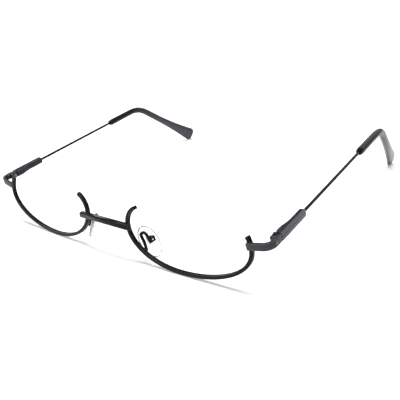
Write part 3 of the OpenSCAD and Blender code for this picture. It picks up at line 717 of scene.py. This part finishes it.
def rim_mesh(side):
    """The rim wire, with its ends drawn in over their last step."""
    path, section = rim_path(), rim_section()
    # share of the last step and size of the section there
    ends = [(0.0, 0.74), (0.12, 0.9), (0.4, 0.98)]

    def end_stations(at, inward):
        (first, normal), (second, _) = path[at], path[inward]
        return [(([a + (b - a) * share for a, b in zip(first, second)], normal), scale) for share, scale in ends]

    stations = end_stations(0, 1) + [(station, 1.0) for station in path[1:-1]] + end_stations(-1, -2)[::-1]
    rings = [[from_eye(p[0] + n[0] * o * scale, p[1] + n[1] * o * scale, d * scale) for o, d in section]
             for (p, n), scale in stations]
    return loft("rim", rings, side)


# ---------------------------------------------------------------- tips
# shares of the tip's length: where the paddle starts to flare, and where its colour starts to turn and for how long
FLARE_FROM, PALER_FROM, PALER_OVER = 0.48, 0.1, 0.7


def tip_frame(s, side):
    """Direction along the tip and upward across it, at the length s from its front."""
    drop = TIP_BEND[side] * ease(clamp01((s - TIP_STRAIGHT) / TIP_BEND_L))
    yaw = TIP_CURL[side] * clamp01((s - TIP_STRAIGHT) / (TIP_L - TIP_STRAIGHT))
    (cd, sd), (cy, sy) = cos_sin(drop), cos_sin(yaw)
    along = turn_y((-sy * cd, cy * cd, -sd), TIP_ROLL[side])
    up = turn_y((-sy * sd, cy * sd, cd), TIP_ROLL[side])
    return along, up


def end_corner(s, radius):
    """How far the end's rounding draws the outline in."""
    into = s - (TIP_L - radius)
    return 0.0 if into <= 0 else radius - math.sqrt(max(0.0, radius * radius - into * into))


def tip_halves(s):
    """Half width, half thickness and share of the paddle's flare."""
    flare_start = FLARE_FROM * TIP_L
    flare = clamp01((s - flare_start) / (TIP_L - flare_start))
    neck = TIP_D + (NECK_D - TIP_D) * ease(clamp01(s / TIP_STRAIGHT))
    start = 0.86 + 0.14 * ease(clamp01(s / 1.0))
    swell = BEND_SWELL * ease(clamp01((s - TIP_STRAIGHT) / (flare_start - TIP_STRAIGHT)))
    width = start * (neck + swell + (PADDLE_W - NECK_D - BEND_SWELL) * flare ** 2.2) / 2
    thick = start * (neck + (PADDLE_T - NECK_D) * ease(flare)) / 2
    return width - end_corner(s, PADDLE_ROUND), thick - end_corner(s, 0.35 * PADDLE_T), flare


def tip_mesh(side):
    """The moulded tip, closed in front round the pocket for the wire."""
    steps, sides = 136, 40
    step, turns = TIP_L / steps, full_turn(sides)
    path = [Vector((0, WIRE_L, 0))]
    for i in range(steps):
        path.append(path[-1] + step * tip_frame((i + 0.5) * step, side)[0])

    def place(s):
        i = min(steps - 1, int(s / step))
        return path[i].lerp(path[i + 1], s / step - i)

    stations = [0.0, 0.06, 0.2, 0.5] + [i * step for i in range(2, steps - 3)]
    stations += [TIP_L - PADDLE_ROUND * (1 - f) for f in (0.2, 0.35, 0.5, 0.65, 0.78, 0.88, 0.95, 0.985, 1.0)]
    stations.sort()
    rings = []
    for s in stations:
        along, up = tip_frame(s, side)
        across = along.cross(up)
        half_w, half_t, flare = tip_halves(s)
        flat = 1 - 0.22 * flare
        rings.append([from_temple(place(s) + up * half_w * math.copysign(abs(n) ** flat, n)
                                  + across * half_t * math.copysign(abs(c) ** flat, c)) for c, n in turns])
    along, up = tip_frame(0, side)
    across = along.cross(up)
    for radius, back in ((0.8, 0.0), (WIRE_R + FIT_GAP, 0.0), (WIRE_R + FIT_GAP, 0.6)):
        mouth = Vector((0, WIRE_L + back, 0))
        rings.insert(0, [from_temple(mouth + radius * (up * n + across * c)) for c, n in turns])
    mesh = loft("temple_tip", rings, side)
    share = mesh.attributes.new("along_tip", "FLOAT", "POINT")
    for i, s in enumerate([0.0] * (len(rings) - len(stations)) + stations):
        for j in range(sides):
            share.data[i * sides + j].value = ease(clamp01((s - PALER_FROM * TIP_L) / (PALER_OVER * TIP_L)))
    return mesh


# ---------------------------------------------------------------- nose pads and their arms
# depth and size of the pad's outlines from back to front, as shares
PAD_LEVELS = [(0, 0.8), (0.05, 0.875), (0.12, 0.93), (0.2, 0.965), (0.24, 0.98), (0.26, 1.0), (0.4, 1.0),
              (0.42, 0.98), (0.48, 0.965), (0.6, 0.94), (0.72, 0.88), (0.82, 0.78), (0.9, 0.64), (0.95, 0.5),
              (0.985, 0.32), (1, 0.12)]
# outline levels larger than this get the grey band of painted shade
EDGE_BAND_FROM = 0.92


def pad_mesh(side):
    """Oval pad with a thin flange and a soft crown, and the lug that goes into the box."""
    sides = 64
    rings = []
    for depth, size in PAD_LEVELS:
        width, length = PAD_W / 2 * size, PAD_L / 2 * (1 - (1 - size) * PAD_W / PAD_L)
        rings.append([from_pad((PAD_BACK - PAD_T * depth, PAD_CENTRE_Y + width * c, PAD_CENTRE_Z + length * s))
                      for c, s in full_turn(sides)])
    bm = bmesh.new()
    add_loft(bm, rings)
    inner = BOX_W / 2 - BOX_WALL
    flat, start = 0.8 * LUG_LOOK_R, -0.6 * LUG_LOOK_R
    outline = [(PAD_BACK - LUG_INTO_PAD, -flat), (start, -flat)]
    outline += [(LUG_LOOK_R * c, LUG_LOOK_R * s) for c, s in map(cos_sin, range(-120, 130, 15))]
    outline += [(start, flat), (PAD_BACK - LUG_INTO_PAD, flat)]
    add_loft(bm, [[from_pad((x, y, z)) for x, z in outline] for y in (0.05 - inner, inner - 0.38)])
    mesh = mesh_of("nose_pad", bm, side)
    band = mesh.attributes.new("edge_band", "FLOAT", "POINT")
    for i, (_, size) in enumerate(PAD_LEVELS):
        for j in range(sides):
            band.data[i * sides + j].value = 1.0 if size > EDGE_BAND_FROM else 0.0
    return mesh


def arm_points():
    """Bends of the pad arm, from the back of the rim over to the top of the pad box."""
    c, s = cos_sin(45)
    u, v = -NOSE_HALF * c, -EYE_DROP * s
    start = from_eye(u, v, RIM_D / 2 + 0.01)
    lead = from_eye(u, v, RIM_D / 2 + 0.5)
    end, near, above = [from_pad(Vector(ARM_SEAT) + Vector((0, 0, rise))) for rise in (0.01, 0.4, 1.2)]
    return [start, lead, start + Vector((-1.6, 1.5, 2.3)), start + Vector((-2.8, 1.6, 4.6)),
            end + Vector((-1.2, -1.9, 1.7)), end + Vector((-0.2, -1.6, 2.4)), above, near, end]


def lathe(bm, profile, sides=40):
    """Turned solid about Z, from (radius, height) pairs."""
    add_loft(bm, [[(radius * c, radius * s, height) for c, s in full_turn(sides)] for radius, height in profile])


def slotted_screw(name, radius, length, head_r, head_h, slot_w, slot_deep):
    """Screw along Z from 0, with a low domed head and a slot across it."""
    rim = 0.12 * head_r
    profile = [(radius * 0.8, 0), (radius, 0.08), (radius, length), (head_r - rim * 0.4, length),
               (head_r, length + rim), (head_r, length + head_h * 0.55), (head_r * 0.93, length + head_h * 0.8),
               (head_r * 0.72, length + head_h * 0.95), (head_r * 0.4, length + head_h), (0.02, length + head_h)]
    bm = bmesh.new()
    lathe(bm, profile)
    bmesh.ops.recalc_face_normals(bm, faces=bm.faces)
    body = bpy.data.meshes.new(name + "_body")
    bm.to_mesh(body)
    bm.free()
    bm = bmesh.new()
    bmesh.ops.create_cube(bm, size=1.0)
    bm.transform(Matrix.Translation((0, 0, length + head_h))
                 @ Matrix.Diagonal((slot_w, 3 * head_r, 2 * slot_deep, 1)))
    tool_mesh = bpy.data.meshes.new(name + "_slot")
    bm.to_mesh(tool_mesh)
    bm.free()
    tool = bpy.data.objects.new(name + "_slot", tool_mesh)
    bpy.context.collection.objects.link(tool)

    def cut(helper):
        modifier = helper.modifiers.new("slot", "BOOLEAN")
        modifier.operation = "DIFFERENCE"
        modifier.solver = "EXACT"
        modifier.object = tool

    result = evaluated(name, body, cut)
    bpy.data.objects.remove(tool)
    return finished(result)


def blob(bm, centre, axes, radii):
    """Ellipsoid with the given axes, for a braze fillet."""
    rows, sides = 10, 20
    rings = []
    for i in range(1, rows):
        c, s = cos_sin(-90 + 180 * i / rows)
        rings.append([centre + axes[0] * radii[0] * c * x + axes[1] * radii[1] * c * y + axes[2] * radii[2] * s
                      for x, y in full_turn(sides)])
    add_loft(bm, rings)


def braze_mesh(side):
    """Fillets where the pad arm is brazed to the rim and to the pad box."""
    bm = bmesh.new()
    eye = [from_eye(*unit) - EYE for unit in ((1, 0, 0), (0, 1, 0), (0, 0, 1))]
    blob(bm, arm_points()[0] - eye[2] * 0.05, eye, (0.62, 0.62, 0.34))
    pad = [from_pad(unit) - PAD for unit in ((1, 0, 0), (0, 1, 0), (0, 0, 1))]
    blob(bm, from_pad(ARM_SEAT), pad, (0.66, 0.66, 0.3))
    return mesh_of("braze", bm, side)


# ---------------------------------------------------------------- placing the pieces
for label, side in SIDES.items():
    for kind, (width, slot) in ROUNDED.items():
        node = f"{label}_{kind}"
        add_piece(f"{node}_dressed", dressed(node, width), look_of(node), body_of_node(node), (node,))
    add_piece(f"{label}_rim_wire", rim_mesh(side), BLACK, "front", (f"{label}_rim",))
    temple = f"{label}_temple"
    add_piece(f"{label}_tip_moulded", tip_mesh(side), TIP, temple, (f"{label}_temple_tip",))
    pad = add_piece(f"{label}_pad_moulded", pad_mesh(side), CLEAR, f"{label}_pad", (f"{label}_nose_pad",))
    pad.visible_shadow = False
    add_piece(f"{label}_braze", braze_mesh(side), BLACK, "front", ())

    mirror = Matrix.Diagonal((side * MM, MM, MM, 1))
    arm = grown("pad_arm", WIRE, polyline("arm", arm_points()),
                **{"Wire Radius": ARM_LOOK_R, "Sides": 20, "Step": 0.2, "Material": BLACK})
    add_piece(f"{label}_pad_arm_wire", finished(put(arm, mirror)), BLACK, "front", (f"{label}_pad_arm",))
    ends = [from_temple((0, y, 0)) for y in (-WIRE_POCKET, WIRE_L / 2, WIRE_L + WIRE_IN_TIP)]
    wire = grown("temple_wire", WIRE, polyline("wire", ends),
                 **{"Wire Radius": WIRE_R, "Sides": 28, "Step": 2.0, "Material": BLACK})
    add_piece(f"{label}_temple_core", finished(put(wire, mirror)), BLACK, temple, (f"{label}_temple_wire",))

    at_hinge = placement(from_hinge, side)
    along_rod = Matrix.Translation((BORE_X, BUSH_START + BUSH_L + SPRING_WIRE_R + 0.01, 0)) \
        @ Matrix.Rotation(math.radians(-90), 4, "X")
    coil = grown("hinge_coil", COIL, polyline("coil", [(0, 0, 0), (0, 0, 1)]), **{
        "Wire Radius": SPRING_WIRE_R, "Sides": 10, "Coil Radius": (ROD_R + BORE_R) / 2, "Turns": SPRING_TURNS,
        "Rise": SPRING_L - 2 * SPRING_WIRE_R - 0.02, "Material": STEEL})
    spring = add_piece(f"{label}_coil", finished(put(coil, at_hinge @ along_rod)), STEEL, temple,
                       (f"{label}_hinge_spring",))
    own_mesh(spring)

    screw = slotted_screw("hinge_screw", SCREW_R, HINGE_H, SCREW_HEAD_R, SCREW_HEAD_H, *HINGE_SLOT)
    put(screw, at_hinge @ Matrix.Translation((0, 0, -HINGE_H / 2)))
    add_piece(f"{label}_hinge_screw_slotted", screw, DARK_SCREW, "front", (f"{label}_hinge_screw",))
    pad_screw = slotted_screw("pad_screw", PAD_SCREW_R, BOX_W, PAD_HEAD_R, PAD_HEAD_H, *PAD_SLOT)
    put(pad_screw, placement(from_pad, side) @ Matrix.Rotation(math.radians(-90), 4, "X")
        @ Matrix.Translation((0, 0, -BOX_W / 2)))
    add_piece(f"{label}_pad_screw_slotted", pad_screw, DARK_SCREW, "front", (f"{label}_pad_screw",))

add_piece("bridge_dressed", dressed("bridge", 0.05, 1, BRIDGE_COAT), BLACK_BAR, "front", ("bridge",))


# ---------------------------------------------------------------- stage, light and camera
# the camera fitted to the photograph: place in mm, turns in degrees, focal length in pixels
CAMERA_AT = Vector((145.165, -115.862 - MID_Y, 96.22))
CAMERA_AZIMUTH, CAMERA_ELEVATION, CAMERA_ROLL = 40.209, 23.319, -6.545
FOCAL_PIXELS, IMAGE_PIXELS, SENSOR = 526.388, 400, 36.0


def add_camera():
    back = turn_z(turn_x((0, -1, 0), -CAMERA_ELEVATION), CAMERA_AZIMUTH)
    level = turn_z((1, 0, 0), CAMERA_AZIMUTH)
    roll = math.radians(CAMERA_ROLL)
    right = level * math.cos(roll) + back.cross(level) * math.sin(roll)
    up = back.cross(right)
    data = bpy.data.cameras.new("camera")
    data.sensor_width = SENSOR
    data.lens = FOCAL_PIXELS * SENSOR / IMAGE_PIXELS
    data.clip_start, data.clip_end = 0.005, 20.0
    camera = bpy.data.objects.new("camera", data)
    bpy.context.collection.objects.link(camera)
    turn = Matrix((right, up, back)).transposed().to_4x4()
    camera.matrix_world = Matrix.Translation(CAMERA_AT * MM) @ turn
    bpy.context.scene.camera = camera


def camera_boost(tree, base, amount):
    """base plus a white glow that only the camera, reflections and clear pads see."""
    path = tree.nodes.new("ShaderNodeLightPath")
    seen = math_node(tree, "MAXIMUM", path.outputs["Is Camera Ray"],
                     math_node(tree, "MAXIMUM", path.outputs["Is Glossy Ray"], path.outputs["Is Transmission Ray"]))
    glow = tree.nodes.new("ShaderNodeEmission")
    tree.links.new(math_node(tree, "MULTIPLY", seen, amount), glow.inputs["Strength"])
    total = tree.nodes.new("ShaderNodeAddShader")
    tree.links.new(base, total.inputs[0])
    tree.links.new(glow.outputs[0], total.inputs[1])
    return total.outputs[0]


FLOOR_HALF, FLOOR_BELOW = 6.0, 0.00001
# the floor's own glow near the frame, what it gains with distance, and where in metres
GLOW_NEAR, GLOW_GAIN, GLOW_FROM, GLOW_OVER = 0.24, 0.68, 0.15, 0.6
FILL = 0.18


def add_floor():
    mesh = bpy.data.meshes.new("floor")
    half = FLOOR_HALF
    mesh.from_pydata([(-half, -half, 0), (half, -half, 0), (half, half, 0), (-half, half, 0)], [], [(0, 1, 2, 3)])
    floor = bpy.data.objects.new("floor", mesh)
    floor.location.z = cad_box[0][2] - FLOOR_BELOW
    bpy.context.collection.objects.link(floor)
    material = bpy.data.materials.new("pale_floor")
    material.use_nodes = True
    tree = material.node_tree
    shader = tree.nodes["Principled BSDF"]
    shader.inputs["Base Color"].default_value = (0.82, 0.82, 0.82, 1)
    shader.inputs["Roughness"].default_value = 0.7
    shader.inputs["Specular IOR Level"].default_value = 0.1
    reach = tree.nodes.new("ShaderNodeVectorMath")
    reach.operation = "LENGTH"
    tree.links.new(tree.nodes.new("ShaderNodeTexCoord").outputs["Object"], reach.inputs[0])
    past = math_node(tree, "SUBTRACT", reach.outputs["Value"], GLOW_FROM)
    away = math_node(tree, "DIVIDE", past, GLOW_OVER, clamp=True)
    glow = math_node(tree, "ADD", math_node(tree, "MULTIPLY", away, GLOW_GAIN), GLOW_NEAR)
    output = tree.nodes["Material Output"]
    tree.links.new(camera_boost(tree, shader.outputs[0], glow), output.inputs["Surface"])
    mesh.materials.append(material)


def add_world():
    """Plain fill light, which is white to the camera and through the clear pads."""
    world = bpy.data.worlds.new("studio")
    bpy.context.scene.world = world
    world.use_nodes = True
    tree = world.node_tree
    background = tree.nodes["Background"]
    path = tree.nodes.new("ShaderNodeLightPath")
    seen = math_node(tree, "MAXIMUM", path.outputs["Is Camera Ray"], path.outputs["Is Transmission Ray"])
    strength = math_node(tree, "ADD", math_node(tree, "MULTIPLY", seen, 1 - FILL), FILL)
    tree.links.new(strength, background.inputs["Strength"])
    background.inputs["Color"].default_value = (1, 1, 1, 1)


def add_softbox(name, place, width, height, watts):
    """Rectangular lamp that faces the origin."""
    data = bpy.data.lights.new(name, "AREA")
    data.shape = "RECTANGLE"
    data.size, data.size_y = width, height
    data.energy = watts
    lamp = bpy.data.objects.new(name, data)
    bpy.context.collection.objects.link(lamp)
    # a bare minus would put -0.0 into the direction, and turn the overhead lamp half round
    facing = (Vector((0, 0, 0)) - Vector(place)).to_track_quat("-Z", "Y")
    lamp.matrix_world = Matrix.Translation(place) @ facing.to_matrix().to_4x4()


add_world()
add_floor()
add_softbox("overhead", (0.0, 0.0, 1.0), 0.8, 0.26, 12.5)
add_softbox("front", (-0.3, -0.8, 0.5), 0.5, 0.3, 2.2)
add_softbox("rear", (0.15, 1.0, 0.6), 1.5, 0.45, 3.2)
add_softbox("left", (-0.95, 0.55, 0.38), 0.5, 0.35, 1.6)
add_camera()

scene = bpy.context.scene
scene.view_settings.view_transform = "Standard"
